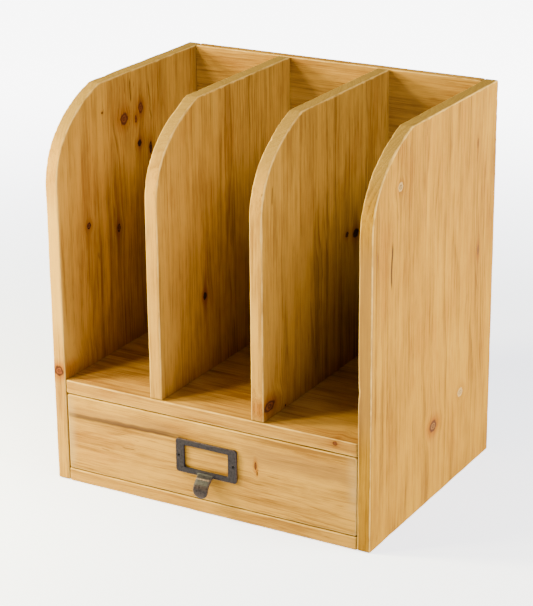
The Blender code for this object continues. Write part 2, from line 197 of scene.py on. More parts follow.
# Features to a metre across, through and along the grain
WANDER = (9, 9, 3.2)
DRIFT = (60, 60, 13)
FIBRE = (1500, 1500, 40)
FINE_STREAKS = (420, 420, 9)
BANDS = (85, 85, 6)
CLOUDS = (34, 34, 13)
RING_STRENGTH = (42, 42, 10)
RESIN_DUCTS = (620, 620, 38)
WORN_PATCHES = (120, 120, 60)

WOOD_GLOSS = 0.014
WOOD_GLOSS_TINT = (1.0, 0.66, 0.28, 1.0)
GRAIN_DEPTH = 0.00016


def end_grain(graph, colour, late_wood, fibre, facing):
    """The darker, speckled look of pine cut across, where the surface faces along the grain."""
    amount = graph.ramp(graph.math("ABSOLUTE", facing), 0.28, 0.85)
    cut = graph.mix(graph.ramp(fibre, 0.32, 0.68), END_DARK, END_PALE)
    cut = graph.mix(graph.math("MULTIPLY", late_wood, 0.45), cut, END_RING)
    return graph.mix(graph.math("MULTIPLY", amount, 0.8), colour, cut), amount


def strip_chance(graph, u, strips, seed):
    """Random numbers that change from one glued strip to the next, and a shift of the grain made from them."""
    strip = 0.0
    for joint in strips:
        strip = graph.math("ADD", graph.math("GREATER_THAN", u, joint), strip)
    chance = graph.add("ShaderNodeTexWhiteNoise", noise_dimensions="2D")
    graph.feed(chance.inputs["Vector"], graph.vector(strip, seed * 7.31, 0.0))
    shift = graph.add("ShaderNodeVectorMath", operation="SCALE")
    graph.feed(shift.inputs[0], chance.outputs["Color"])
    shift.inputs["Scale"].default_value = 9.0
    return graph.split(chance.outputs["Color"]), shift.outputs[0]


def strip_tone(graph, u, strips, tones):
    """How much darker each glued strip is than plain early wood."""
    tone = tones[0]
    for joint, before, after in zip(strips, tones, tones[1:]):
        step = graph.math("MULTIPLY", graph.math("GREATER_THAN", u, joint), after - before)
        tone = graph.math("ADD", step, tone)
    return tone


def part_round_knots(graph, place, axes, marks, seed):
    """The place across the grain, pushed aside at every knot, and each knot with its distance and tail."""
    across, through, along = axes
    u = place[across]
    found = []
    for mark in marks:
        gaps = [
            graph.math("DIVIDE", graph.math("SUBTRACT", coordinate, mark.centre[axis]), mark.radii[axis])
            for axis, coordinate in zip(axes, (u, place[through], place[along]))
        ]
        squares = [graph.math("MULTIPLY", gap, gap) for gap in gaps]
        rough_edge = graph.noise(graph.stretch(graph.vector(*gaps), (1.6, 1.6, 1.6), (seed, 0, 0)))
        distance = graph.math("MULTIPLY_ADD", rough_edge, 0.6, graph.math("SQRT", graph.total(*squares)))
        beside = graph.math("EXPONENT", graph.math("MULTIPLY", graph.math("ADD", squares[0], squares[1]), -1.6))
        tail = graph.math("MULTIPLY", beside, graph.ramp(graph.math("ABSOLUTE", gaps[2]), 7.0, 0.5))
        found.append((mark, distance, tail))
        near = graph.math("EXPONENT", graph.math("MULTIPLY", graph.math("MULTIPLY", distance, distance), -0.20))
        reach = graph.math("MULTIPLY", gaps[0], mark.radii[across] * -0.78)
        u = graph.math("MULTIPLY_ADD", near, reach, u)
    return u, found


def growth_rings(graph, spot, u, v, luck, moved, seed, ring, pith):
    """Late wood, from 0 to 1, in rings about a pith line beyond the board's face that wanders along the grain."""
    wander = graph.noise(graph.stretch(spot, WANDER, moved))
    drift = graph.noise(graph.stretch(spot, DRIFT, moved), detail=3)
    side = graph.total(
        u,
        graph.ramp(luck[0], 0, 1, -0.09, 0.09, smooth=False),
        graph.math("MULTIPLY", wander, 0.034),
        graph.math("MULTIPLY", drift, 0.0075),
    )
    below = graph.total(
        v, graph.ramp(luck[1], 0, 1, *pith, smooth=False), graph.math("MULTIPLY", wander, 0.018)
    )
    radius = graph.math("SQRT", graph.math("MULTIPLY_ADD", side, side, graph.math("MULTIPLY", below, below)))
    uneven = graph.noise(graph.vector(graph.math("MULTIPLY", radius, 90.0), 0.0, seed), detail=3)
    count = graph.math("MULTIPLY_ADD", uneven, 4.5, graph.math("DIVIDE", radius, ring))
    phase = graph.math("FRACT", count)
    return graph.math("MULTIPLY", graph.math("POWER", phase, 2.0), graph.ramp(phase, 1.0, 0.88))


def draw_streak(graph, colour, streak, u, s, grain, seed):
    """The colour with a streak over it, ragged along the fine grain."""
    (start_u, start_s), (end_u, end_s) = streak.start, streak.end
    slope = (end_u - start_u) / (end_s - start_s)
    middle = graph.math("MULTIPLY_ADD", s, slope, start_u - slope * start_s)
    waver = graph.noise(graph.vector(graph.math("MULTIPLY", s, 70.0), seed * 1.7, 0.0))
    middle = graph.math("MULTIPLY_ADD", waver, 2 * streak.waver, middle)
    gap = graph.math("DIVIDE", graph.math("SUBTRACT", u, middle), streak.width)
    across_line = graph.ramp(graph.math("ABSOLUTE", gap), 1.7, 0.5)
    fade = 0.15 * abs(end_s - start_s)
    low, high = min(start_s, end_s), max(start_s, end_s)
    ends = graph.math("MULTIPLY", graph.ramp(s, low - fade, low + fade), graph.ramp(s, high + fade, high - fade))
    ragged = graph.ramp(grain, 0.25, 0.60, 0.75 * streak.strength, streak.strength)
    mask = graph.math("MULTIPLY", graph.math("MULTIPLY", across_line, ends), ragged)
    return graph.mix(mask, colour, streak.colour)


def draw_knot(graph, colour, mark, distance, tail):
    """The colour with a ringed knot over it, flushed around and darkened along the grain."""
    halo = graph.math("MULTIPLY", graph.ramp(distance, 3.0, 0.9), mark.flush)
    colour = graph.mix(halo, colour, KNOT_HALO, blend="MULTIPLY")
    colour = graph.mix(graph.math("MULTIPLY", tail, mark.tail), colour, KNOT_TAIL)
    turns = graph.math("SINE", graph.math("MULTIPLY", distance, 15.0))
    inside = graph.mix(graph.ramp(turns, -1.0, 1.0), mark.core, mark.rim)
    inside = graph.mix(graph.ramp(distance, 0.72, 1.0), inside, mark.rim)
    inside = graph.mix(graph.ramp(distance, 0.55, 0.10), inside, BLACK if mark.tail > 0.6 else mark.core)
    return graph.mix(graph.ramp(distance, 1.30, 1.02), colour, inside)


def wood(name, along, across, seed, early=EARLY, late=LATE, strips=(), tones=(0.05,), marks=(), streaks=(),
         ring=0.0036, contrast=1.0, pith=(0.030, 0.085), worn_ends=0.0):
    """Pine cut along one axis, satin lacquered.

    strips are the places across where its pieces are glued, and tones how dark each of them is. Its
    pith lies somewhere between the two distances in pith behind the face. From worn_ends outward the
    board's ends are greyed by handling.
    """
    graph = Graph(name)
    through = 3 - along - across
    coordinates = graph.add("ShaderNodeTexCoord")
    place = graph.split(coordinates.outputs["Object"])
    flat_u, v, s = place[across], place[through], place[along]
    luck, moved = strip_chance(graph, flat_u, strips, seed)
    u, knots = part_round_knots(graph, place, (across, through, along), marks, seed)
    spot = graph.vector(u, v, s)

    # The figure, from the growth rings down to single fibres
    late_wood = growth_rings(graph, spot, u, v, luck, moved, seed, ring, pith)
    fibre = graph.noise(graph.stretch(spot, FIBRE, moved), detail=3, roughness=0.75)
    fine_streaks = graph.noise(graph.stretch(spot, FINE_STREAKS, moved), detail=5, roughness=0.7)
    band = graph.noise(graph.stretch(spot, BANDS, moved), detail=3, roughness=0.6)
    cloud = graph.noise(graph.stretch(spot, CLOUDS, moved), detail=4, roughness=0.62)
    strength = graph.ramp(graph.noise(graph.stretch(spot, RING_STRENGTH, moved)), 0.36, 0.66, 0.06, 1.0)
    amount = graph.total(
        graph.math("MULTIPLY", graph.math("MULTIPLY", late_wood, strength), 0.66 * contrast),
        graph.ramp(fibre, 0.30, 0.70, -0.22 * contrast, 0.30 * contrast),
        graph.ramp(fine_streaks, 0.32, 0.70, -0.17 * contrast, 0.33 * contrast),
        graph.ramp(band, 0.32, 0.68, -0.14 * contrast, 0.24 * contrast),
        graph.ramp(cloud, 0.30, 0.70, -0.12 * contrast, 0.24 * contrast),
        strip_tone(graph, flat_u, strips, tones),
    )
    colour = graph.mix(graph.math("MULTIPLY", amount, 1.0, clamp=True), early, late)
    flushed = graph.math("MULTIPLY", graph.ramp(cloud, 0.50, 0.72), 0.45)
    colour = graph.mix(flushed, colour, FLUSHED, blend="MULTIPLY")
    bleached = graph.math("MULTIPLY", graph.ramp(cloud, 0.46, 0.28), 0.60)
    colour = graph.mix(bleached, colour, BLEACHED, blend="MULTIPLY")

    # Glue lines, resin ducts, streaks and knots
    for joint in strips:
        line = graph.ramp(graph.math("ABSOLUTE", graph.math("SUBTRACT", flat_u, joint)), 0.0006, 0.0001)
        colour = graph.mix(graph.math("MULTIPLY", line, 0.35), colour, late)
    duct = graph.noise(graph.stretch(spot, RESIN_DUCTS, (seed, 3.7, 1.9)), detail=1)
    duct = graph.math("MULTIPLY", graph.ramp(duct, 0.735, 0.80), 0.75)
    colour = graph.mix(duct, colour, RESIN)
    for streak in streaks:
        colour = draw_streak(graph, colour, streak, flat_u, s, fine_streaks, seed)
    for knot in knots:
        colour = draw_knot(graph, colour, *knot)
    facing = graph.split(coordinates.outputs["Normal"])[along]
    colour, end = end_grain(graph, colour, late_wood, fibre, facing)

    # Eased edges painted pale, partly as lighter sanded wood and partly as a painted highlight along the arrises,
    # and ends greyed by handling
    rubbed_and_highlit = graph.add("ShaderNodeAttribute", attribute_name="wear_and_highlight")
    patchy = graph.ramp(graph.noise(graph.stretch(spot, WORN_PATCHES, moved), detail=3), 0.28, 0.62, 0.35, 1.0)
    wear_and_highlight = graph.math("MULTIPLY", rubbed_and_highlit.outputs["Fac"], patchy)
    colour = graph.mix(graph.math("MULTIPLY", wear_and_highlight, 0.78), colour, RUBBED_EDGE_AND_HIGHLIGHT)
    if worn_ends:
        grey = graph.math(
            "MULTIPLY",
            graph.ramp(graph.math("ABSOLUTE", s), worn_ends - 0.012, worn_ends),
            graph.ramp(cloud, 0.35, 0.60),
        )
        colour = graph.mix(graph.math("MULTIPLY", grey, 0.7), colour, GREYED)

    height = graph.total(
        graph.math("MULTIPLY", fibre, 0.55),
        graph.math("MULTIPLY", late_wood, 0.35),
        graph.math("MULTIPLY", graph.math("MULTIPLY", fibre, end), 1.2),
        graph.math("MULTIPLY", duct, -0.9),
        graph.math("MULTIPLY", band, 0.8),
    )
    rough = graph.total(0.50, graph.math("MULTIPLY", fibre, 0.12), graph.math("MULTIPLY", end, 0.2))
    inputs = graph.shader.inputs
    graph.feed(inputs["Base Color"], graph.mix(1.0, colour, LACQUER, blend="MULTIPLY"))
    graph.feed(inputs["Roughness"], rough)
    graph.feed(inputs["Normal"], graph.bump(height, GRAIN_DEPTH, 0.7))
    inputs["Specular IOR Level"].default_value = WOOD_GLOSS
    inputs["Specular Tint"].default_value = WOOD_GLOSS_TINT
    return graph.material


PLY_PAIR = 0.002


def plywood(name):
    """Thin plywood: a plain rotary-cut face and plies of alternating tone at its edges."""
    graph = Graph(name)
    coordinates = graph.add("ShaderNodeTexCoord")
    place = coordinates.outputs["Object"]
    height = graph.split(place)[Z]
    figure = graph.noise(graph.stretch(place, (5, 60, 60)), detail=4, roughness=0.6, distortion=0.6)
    fleck = graph.noise(graph.stretch(place, (50, 900, 900)), detail=3, roughness=0.7)
    colour = graph.mix(graph.ramp(figure, 0.3, 0.7), (0.36, 0.205, 0.062), (0.25, 0.125, 0.030))
    colour = graph.mix(graph.math("MULTIPLY", graph.ramp(fleck, 0.45, 0.75), 0.3), colour, (0.16, 0.075, 0.018))
    side = graph.ramp(graph.math("ABSOLUTE", graph.split(coordinates.outputs["Normal"])[Z]), 0.6, 0.3)
    plies = graph.ramp(graph.math("SINE", graph.math("MULTIPLY", height, math.tau / PLY_PAIR)), -0.3, 0.3)
    colour = graph.mix(graph.math("MULTIPLY", side, plies), colour, (0.15, 0.070, 0.020))
    graph.feed(graph.shader.inputs["Base Color"], colour)
    graph.feed(graph.shader.inputs["Roughness"], graph.ramp(fleck, 0.3, 0.7, 0.50, 0.62))
    graph.feed(graph.shader.inputs["Normal"], graph.bump(fleck, 0.0001, 0.6))
    graph.shader.inputs["Specular IOR Level"].default_value = 0.25
    return graph.material


# ---------------------------------------------------------------- metal


MOTTLE = (520, 520, 520)
GRIT = (2600, 2600, 2600)
# Coppery wear, also the colour of the painted highlight on the casting's rim and bend
COPPERY_WEAR_AND_HIGHLIGHT = (0.110, 0.068, 0.050)


def bronze(name, dark=(0.0070, 0.0055, 0.0062), light=(0.0175, 0.0135, 0.0148), gloss=0.06):
    """Cast metal with a dark brown patina, brighter and coppery where fingers rub it, and with painted highlights
    along the plate's rim and the pull's bend.
    """
    graph = Graph(name)
    place = graph.add("ShaderNodeTexCoord").outputs["Object"]
    mottle = graph.noise(graph.stretch(place, MOTTLE), detail=5, roughness=0.65)
    grit = graph.noise(graph.stretch(place, GRIT), roughness=0.6)
    colour = graph.mix(graph.ramp(mottle, 0.32, 0.68), dark, light)
    # Rubbed wear, and painted highlight along the plate's rim and the pull's bend
    rubbed_and_highlit = graph.add("ShaderNodeAttribute", attribute_name="wear_and_highlight")
    patchy = graph.ramp(mottle, 0.30, 0.62, 0.35, 1.0)
    wear_and_highlight = graph.math("MULTIPLY", rubbed_and_highlit.outputs["Fac"], patchy, clamp=True)
    colour = graph.mix(wear_and_highlight, colour, COPPERY_WEAR_AND_HIGHLIGHT)
    graph.feed(graph.shader.inputs["Base Color"], colour)
    graph.feed(graph.shader.inputs["Metallic"], graph.math("MULTIPLY", wear_and_highlight, 0.8))
    graph.shader.inputs["Specular IOR Level"].default_value = gloss
    rough = graph.math("SUBTRACT", graph.ramp(mottle, 0.3, 0.7, 0.26, 0.40), graph.math("MULTIPLY", wear_and_highlight, 0.12))
    graph.feed(graph.shader.inputs["Roughness"], rough)
    height = graph.math("MULTIPLY_ADD", grit, 0.5, mottle)
    graph.feed(graph.shader.inputs["Normal"], graph.bump(height, 0.00018, 0.7))
    return graph.material


def steel(name):
    """Bright drawn steel."""
    graph = Graph(name)
    place = graph.add("ShaderNodeTexCoord").outputs["Object"]
    grain = graph.noise(graph.stretch(place, (2500, 2500, 2500)), detail=3)
    colour = graph.mix(graph.ramp(grain, 0.3, 0.7), (0.42, 0.41, 0.39), (0.30, 0.29, 0.28))
    graph.feed(graph.shader.inputs["Base Color"], colour)
    graph.shader.inputs["Metallic"].default_value = 1.0
    graph.feed(graph.shader.inputs["Roughness"], graph.ramp(grain, 0.3, 0.7, 0.28, 0.42))
    graph.feed(graph.shader.inputs["Normal"], graph.bump(grain, 0.00005, 0.5))
    return graph.material


# ---------------------------------------------------------------- boards

CORNER_ROUND = 0.0019
EDGE_STEP = 0.0035
CORNER_STEPS = 5
ARC_STEPS = 4
EDGE_RIM = 0.0008
EASED = 0.00115
BUTTED = 0.00025
SWAY = 0.00008
GAP = 0.0003
OVERCUT = 0.001


def finish_mesh(name, mesh_edit):
    """A new object from a mesh under construction."""
    mesh = bpy.data.meshes.new(name)
    mesh_edit.to_mesh(mesh)
    mesh_edit.free()
    made = bpy.data.objects.new(name, mesh)
    bpy.context.scene.collection.objects.link(made)
    return made


def cubic(start, pull_start, pull_end, end, steps):
    """Points along a cubic curve, from start to end."""
    points = []
    for i in range(steps + 1):
        t = i / steps
        points.append(
            (1 - t) ** 3 * start + 3 * t * (1 - t) ** 2 * pull_start + 3 * t * t * (1 - t) * pull_end + t**3 * end
        )
    return points


def soften(corners, radius, sharp=math.radians(14)):
    """A closed anticlockwise outline with its corners rounded and points along its straight runs."""
    rounded = []
    count = len(corners)
    for i, corner in enumerate(corners):
        back = (corners[i - 1] - corner).normalized()
        onward = (corners[(i + 1) % count] - corner).normalized()
        turn = math.pi - back.angle(onward)
        if turn < sharp:
            rounded.append(corner)
            continue
        reach = radius * math.tan(turn / 2)
        handle = radius * math.tan(turn / 4) * 4 / 3
        start, end = corner + back * reach, corner + onward * reach
        rounded += cubic(start, start - back * handle, end - onward * handle, end, CORNER_STEPS)
    points = []
    for i, point in enumerate(rounded):
        span = rounded[(i + 1) % len(rounded)] - point
        pieces = max(1, math.ceil(span.length / EDGE_STEP))
        points += [point + span * (k / pieces) for k in range(pieces)]
    return points


def outward(points):
    """The outward direction at each point, scaled so that an inset keeps an even width."""
    normals = []
    count = len(points)
    for i, point in enumerate(points):
        before = (point - points[i - 1]).normalized()
        after = (points[(i + 1) % count] - point).normalized()
        first = Vector((before.y, -before.x))
        second = Vector((after.y, -after.x))
        middle = (first + second).normalized()
        normals.append(middle / max(0.5, middle.dot(first)))
    return normals


def unevenness(place, scale, seed):
    """Smooth noise about zero, between about -1 and 1."""
    return 1.6 * noise.noise(Vector(place) * scale + Vector((seed * 3.1, seed * 1.7, seed * 0.9)))


def plank(name, corners, plane, low, high, seed, ease, chips=(), corner=CORNER_ROUND):
    """A board: an outline in a plane of two axes, and thick from low to high along the third.

    ease(place, face) is the width of the eased edge at a place, on the low (-1) or high (+1) face.
    A chip is (place, size, depth), a bruise on the nearest edge.
    """
    across, up = plane
    through = 3 - across - up
    outline = soften(corners, corner)
    normals = outward(outline)

    def spatial(point, level):
        place = [0.0, 0.0, 0.0]
        place[across], place[up], place[through] = point.x, point.y, level
        return Vector(place)

    mesh_edit = bmesh.new()
    wear_and_highlight_layer = mesh_edit.verts.layers.float.new("wear_and_highlight")
    loops = []
    for point, normal in zip(outline, normals):
        section = []
        for face, level in ((-1, low), (1, high)):
            place = spatial(point, level)
            width = ease(place, face)
            if width > 2 * BUTTED:
                width *= 1 + 0.28 * unevenness(place, 55, seed) + 0.18 * unevenness(place, 240, seed + 5)
                for chip, size, depth in chips:
                    width += depth * math.exp(-(((place - Vector(chip)).length / size) ** 2))
            # Edge weight that paints the arris pale: lighter sanded wood and a painted highlight
            rubbed_and_highlit = min(1.0, width / EASED)
            arc = []
            for k in range(ARC_STEPS + 1):
                turn = math.pi / 2 * k / ARC_STEPS
                inset = width * (1 - math.sin(turn))
                rise = width * (1 - math.cos(turn))
                arc.append((inset, level - face * rise, rubbed_and_highlit * math.sqrt(abs(math.sin(2 * turn)))))
            arc.append((0.0, level - face * (width + EDGE_RIM), 0.0))
            section += arc if face < 0 else arc[::-1]
        ring = []
        sway = SWAY * (1 + unevenness(spatial(point, low), 30, seed + 9))
        for inset, level, rubbed_and_highlit in section:
            vert = mesh_edit.verts.new(spatial(point - normal * (inset + sway), level))
            vert[wear_and_highlight_layer] = rubbed_and_highlit
            ring.append(vert)
        loops.append(ring)
    for first, second in zip(loops, loops[1:] + loops[:1]):
        for k in range(len(first) - 1):
            mesh_edit.faces.new((first[k], second[k], second[k + 1], first[k + 1])).smooth = True
    mesh_edit.faces.new([ring[0] for ring in reversed(loops)])
    mesh_edit.faces.new([ring[-1] for ring in loops])
    bmesh.ops.recalc_face_normals(mesh_edit, faces=mesh_edit.faces)
    return finish_mesh(name, mesh_edit)


def apply_modifiers(board):
    graph = bpy.context.evaluated_depsgraph_get()
    mesh = bpy.data.meshes.new_from_object(board.evaluated_get(graph))
    board.modifiers.clear()
    board.data = mesh


def combine(board, others, operation):
    """Joins closed shapes to a board, or cuts them out of it, for good, and removes them."""
    for other in others:
        modifier = board.modifiers.new(other.name, "BOOLEAN")
        modifier.operation = operation
        modifier.solver = "EXACT"
        modifier.object = other
    apply_modifiers(board)
    for other in others:
        bpy.data.objects.remove(other, do_unlink=True)


def cut(board, cutters):
    combine(board, cutters, "DIFFERENCE")


def sockets(names, margin=GAP):
    """One cutter for the round holes that the named dowels, brads or pins sit in."""
    mesh_edit = bmesh.new()
    for name in names:
        low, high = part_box(name)
        size = high - low
        long_axis = max(range(3), key=lambda axis: size[axis])
        radius = min(size) / 2 + margin
        turn = Vector((0, 0, 1)).rotation_difference(Vector([axis == long_axis for axis in range(3)]))
        bmesh.ops.create_cone(
            mesh_edit,
            cap_ends=True,
            segments=20,
            radius1=radius,
            radius2=radius,
            depth=size[long_axis] + 2 * margin,
            matrix=Matrix.Translation((low + high) / 2) @ turn.to_matrix().to_4x4(),
        )
    return finish_mesh("sockets", mesh_edit)


def box_cutter(low, high):
    """A cutter that fills a box."""
    low, high = Vector(low), Vector(high)
    mesh_edit = bmesh.new()
    place = Matrix.Translation((low + high) / 2) @ Matrix.Diagonal((*(high - low), 1.0))
    bmesh.ops.create_cube(mesh_edit, size=1.0, matrix=place)
    return finish_mesh("box_cutter", mesh_edit)


def named(*words):
    """The CAD nodes with all these words in their names."""
    return [name for name in NODES if all(word in name for word in words)]


def stand_in(board, node, body, material):
    """The board takes a CAD node's place."""
    board.data.materials.clear()
    board.data.materials.append(material)
    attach(board, body)
    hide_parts(node)


def box_corners(node, plane):
    """The outline of a CAD node's box in a plane of two axes, anticlockwise."""
    low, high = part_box(node)
    a, b = plane
    return [
        Vector((low[a], low[b])),
        Vector((high[a], low[b])),
        Vector((high[a], high[b])),
        Vector((low[a], high[b])),
    ]


# ---------------------------------------------------------------- carcass

BODIES = frame["record"]["behaviour"]["bodies"]
CARCASS = next(body for body, names in BODIES.items() if "shelf" in names)
DRAWER = next(body for body, names in BODIES.items() if "drawer_front" in names)
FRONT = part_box("left_side_panel")[0].y
LEFT_INNER_FACE, REAR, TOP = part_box("left_side_panel")[1]
RIGHT_INNER_FACE = -LEFT_INNER_FACE
RIGHT_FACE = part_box("right_side_panel")[1].x
SHELF_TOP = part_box("shelf")[1].z
DIVIDER_FACE = {side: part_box(f"{side}_divider")[1].x for side in ("left", "right")}

# Front-top corner of the uprights, as in the CAD model
CORNER_DROP = 0.078
CORNER_RUN = 0.070
CORNER_RISE = 0.043
CORNER_REACH = 0.036
CORNER_ANGLE = math.radians(20)
CORNER_POINTS = 40

# Colours of single knots, filled holes, cracks, and of front edges drawn paler or duller
DARK_KNOT = (0.085, 0.034, 0.012)
EDGE_KNOT_RIM = (0.045, 0.014, 0.007)
EDGE_KNOT_CORE = (0.150, 0.040, 0.010)
EDGE_KNOT_RADII = (0.0054, 0.014, 0.0054)
DIVIDER_KNOT_RIM = (0.050, 0.016, 0.007)
DIVIDER_KNOT_CORE = (0.150, 0.042, 0.010)
FILLER_RIM = (0.250, 0.155, 0.055)
FILLER_CORE = (0.060, 0.035, 0.018)
PALE_FILLER_RIM = (0.290, 0.185, 0.070)
PALE_FILLER_CORE = (0.160, 0.095, 0.040)
SIDE_KNOT_RIM = (0.058, 0.021, 0.009)
SIDE_KNOT_CORE = (0.150, 0.070, 0.022)
CRACK = (0.036, 0.014, 0.007)
PALE_EDGE = (0.500, 0.280, 0.050)
DULL_EDGE = (0.190, 0.094, 0.026)
RED_STREAK = (0.150, 0.045, 0.010)


def upright_corners(node):
    """The outline of an upright in the plane of Y and Z, with its curved front-top corner."""
    low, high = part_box(node)
    start = Vector((FRONT, TOP - CORNER_DROP))
    kink = Vector((FRONT + CORNER_RUN, TOP))
    lean = Vector((math.cos(CORNER_ANGLE), math.sin(CORNER_ANGLE)))
    curve = cubic(start, start + Vector((0, CORNER_RISE)), kink - CORNER_REACH * lean, kink, CORNER_POINTS)
    corners = [Vector((FRONT, low.z)), Vector((high.y, low.z)), Vector((high.y, TOP))]
    return corners + curve[::-1]


# How near a point has to be to a face of the box to count as lying on it
NEAR = 0.001


def upright_ease(node):
    low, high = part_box(node)

    def ease(place, face):
        butted = node.endswith("divider") and (place.z < low.z + NEAR or place.y > high.y - NEAR)
        if butted:
            return BUTTED
        cut_across = place.z > TOP - CORNER_DROP + 0.01
        ragged = 0.9 * max(0.0, unevenness(place, 420, face)) if cut_across else 0.0
        return EASED * (1 + ragged)

    return ease


def front_ease(place, face):
    return EASED if place.y < FRONT + 2 * NEAR else BUTTED


def top_ease(place, face):
    return EASED if place.z > TOP - 2 * NEAR else BUTTED


def show_face_ease(place, face):
    return EASED if face < 0 else BUTTED * 2


def knot_across(x, y, z, half_y, half_z, rim=RED_RIM, core=RED_CORE, tail=0.4, flush=0.5):
    """A knot that goes through an upright from face to face."""
    return Mark((x, y, z), (0.020, half_y, half_z), rim, core, tail, flush)


UPRIGHTS = {
    "left_side_panel": {
        "strips": (-0.083, -0.036, 0.024, 0.074),
        "tones": (-0.06, 0.06, 0.10, 0.02, 0.10),
        "marks": (
            knot_across(LEFT_INNER_FACE, -0.0134, 0.3105, 0.0072, 0.0062, tail=0.25, flush=0.7),
            knot_across(LEFT_INNER_FACE, 0.0131, 0.3145, 0.0050, 0.0058, tail=0.2, flush=0.8),
            knot_across(LEFT_INNER_FACE, 0.0050, 0.3060, 0.0030, 0.0040, tail=0.2, flush=0.6),
            knot_across(LEFT_INNER_FACE, 0.0106, 0.2823, 0.0038, 0.0036, BLACK, BLACK, 0.5, 0.7),
            knot_across(LEFT_INNER_FACE, 0.0288, 0.2738, 0.0030, 0.0065, BLACK, RED_RIM, 0.5, 0.6),
            knot_across(LEFT_INNER_FACE, -0.0747, 0.2278, 0.0036, 0.0034, BLACK, RED_CORE, 0.5, 0.6),
            knot_across(LEFT_INNER_FACE, -0.0275, 0.2122, 0.0030, 0.0044, BLACK, RED_CORE, 0.7, 0.6),
            knot_across(LEFT_INNER_FACE, -0.0478, 0.3243, 0.0017, 0.0014, RED_RIM, RED_CORE, 0.1, 0.3),
            Mark((-0.1519, FRONT, 0.1050), EDGE_KNOT_RADII, EDGE_KNOT_RIM, EDGE_KNOT_CORE, 0.0, 1.0),
        ),
        "streaks": (
            Streak((-0.0040, 0.344), (-0.0030, 0.324), 0.0008, 0.9, RED_RIM),
            Streak((-0.0130, 0.348), (-0.0125, 0.334), 0.0007, 0.6, RED_RIM),
            Streak((0.0240, 0.335), (0.0290, 0.300), 0.0011, 0.55, RED_RIM, 0.003),
            Streak((FRONT, 0.2650), (FRONT, 0.1400), 0.0022, 0.60, PALE_EDGE, 0.0003),
        ),
    },
    "right_side_panel": {
        "strips": (-0.0217, 0.0250, 0.0889),
        "tones": (0.09, 0.02, 0.05, -0.02),
        # Darker, more saturated pine than the other boards: painted shade that holds back the strong side light
        # on this panel's outer face
        "early": (0.292, 0.142, 0.0080),
        "late": (0.132, 0.055, 0.0040),
        "marks": (
            knot_across(RIGHT_FACE, -0.0719, 0.3068, 0.0052, 0.0042, FILLER_RIM, FILLER_CORE, 0.0, 0.40),
            knot_across(RIGHT_FACE, -0.0002, 0.0697, 0.0082, 0.0058, SIDE_KNOT_RIM, SIDE_KNOT_CORE, 0.35, 0.9),
            knot_across(RIGHT_FACE, 0.0557, 0.0811, 0.0062, 0.0044, PALE_FILLER_RIM, PALE_FILLER_CORE, 0.0, 0.30),
            knot_across(RIGHT_FACE, 0.0801, 0.3050, 0.0013, 0.0048, RED_RIM, RED_RIM, 0.3, 0.5),
            knot_across(RIGHT_FACE, 0.0867, 0.2055, 0.0024, 0.0052, DARK_KNOT, DARK_KNOT, 0.5, 0.6),
        ),
        "streaks": (
            Streak((-0.0872, 0.2610), (-0.0885, 0.2260), 0.0013, 1.0, CRACK, 0.0018),
            Streak((0.0800, 0.2700), (0.0820, 0.1500), 0.0010, 0.35, RED_RIM),
            Streak((FRONT, 0.2700), (FRONT, 0.1050), 0.0022, 0.62, DULL_EDGE, 0.0003),
        ),
    },
    "left_divider": {
        "strips": (-0.0630, 0.0080, 0.0640),
        "tones": (-0.02, 0.06, 0.12, 0.02),
        "marks": (knot_across(DIVIDER_FACE["left"], -0.0460, 0.1702, 0.0036, 0.0040, BLACK, BLACK, 0.9, 0.8),),
        "streaks": (Streak((-0.0450, 0.225), (-0.0465, 0.120), 0.0016, 0.45, RED_STREAK, 0.002),),
    },
    "right_divider": {
        "strips": (-0.0560, 0.0150, 0.0700),
        "tones": (0.0, 0.08, 0.05, 0.12),
        "marks": (
            Mark(
                (0.0565, -0.1105, 0.1094), (0.010, 0.0105, 0.0056), DIVIDER_KNOT_RIM, DIVIDER_KNOT_CORE, 0.2, 0.9
            ),
            knot_across(DIVIDER_FACE["right"], -0.0844, 0.0999, 0.0016, 0.0012, BLACK, BLACK, 0.1, 0.3),
            knot_across(DIVIDER_FACE["right"], 0.0472, 0.2171, 0.0062, 0.0050, BLACK, BLACK, 0.7, 0.7),
            knot_across(DIVIDER_FACE["right"], 0.0323, 0.2205, 0.0040, 0.0030, BLACK, RED_RIM, 0.4, 0.6),
        ),
        "streaks": (Streak((-0.1035, 0.300), (-0.1045, 0.286), 0.0008, 0.8, RED_RIM),),
    },
}

# Bruises on the uprights' edges, as (place, size, depth)
CHIPS = {
    "left_side_panel": (((-0.1575, -0.030, TOP), 0.006, 0.0012), ((-0.1575, -0.055, TOP), 0.009, 0.0010)),
    "right_side_panel": (
        ((RIGHT_INNER_FACE, FRONT, 0.1435), 0.0055, 0.0016),
        ((RIGHT_FACE, -0.088, 0.330), 0.010, 0.0008),
    ),
    "left_divider": (((-0.0565, -0.070, 0.345), 0.008, 0.0010),),
    "right_divider": (((0.0565, FRONT, 0.262), 0.007, 0.0010),),
}

PEGS = {
    "left_side_panel": ("left_shelf_dowel", "left_bottom_dowel", "left_back_dowel"),
    "right_side_panel": ("right_shelf_dowel", "right_bottom_dowel", "right_back_dowel"),
    "left_divider": ("left_divider_",),
    "right_divider": ("right_divider_",),
    "shelf": ("shelf_dowel", "foot_dowel"),
    "bottom_board": ("bottom_dowel",),
    "back_panel": ("_back_dowel_",),
}


def dowel_holes(node):
    return sockets([peg for words in PEGS[node] for peg in named(words)])


for seed, (node, look) in enumerate(UPRIGHTS.items(), start=1):
    low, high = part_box(node)
    board = plank(
        f"{node}_board", upright_corners(node), (Y, Z), low.x, high.x, seed, upright_ease(node), CHIPS[node]
    )
    cut(board, [dowel_holes(node)])
    stand_in(board, node, CARCASS, wood(f"pine_{node}", Z, Y, seed, **look))

